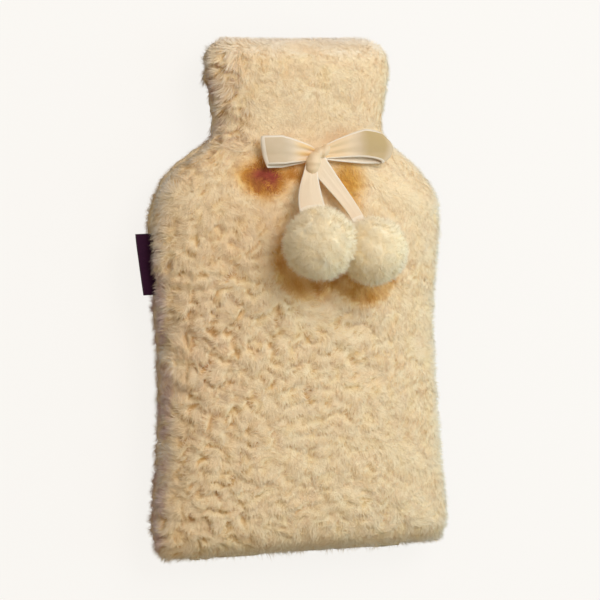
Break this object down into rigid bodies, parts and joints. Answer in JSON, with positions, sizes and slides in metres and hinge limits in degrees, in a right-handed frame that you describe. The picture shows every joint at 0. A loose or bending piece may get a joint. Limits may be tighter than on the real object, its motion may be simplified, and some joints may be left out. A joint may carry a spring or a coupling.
{
  "type": "hot water bottle cover",
  "caption": "Cream teddy-plush cover for a two-litre hot water bottle, lying on its back, with a satin ribbon bow, two pompoms and a bare side label.",
  "frame": {"origin": "on the underside, on the centre line, midway between the bottom edge and the top of the neck", "axes": "+Y from the bottom edge to the neck, +Z out of the front, +X to the right when looking at the front with the neck up"},
  "size_m": [0.2326, 0.3644, 0.1096],
  "materials": {
    "plush": "curly cream teddy pile",
    "pompom": "fine straight pile",
    "satin": "satin ribbon with a soft sheen",
    "label": "matt woven tape"
  },
  "bodies": {
    "root": {"front_panel": "plush", "back_panel": "plush", "ribbon_bow": "satin", "pompom_left": "pompom", "pompom_right": "pompom", "label": "label"}
  },
  "joints": []
}
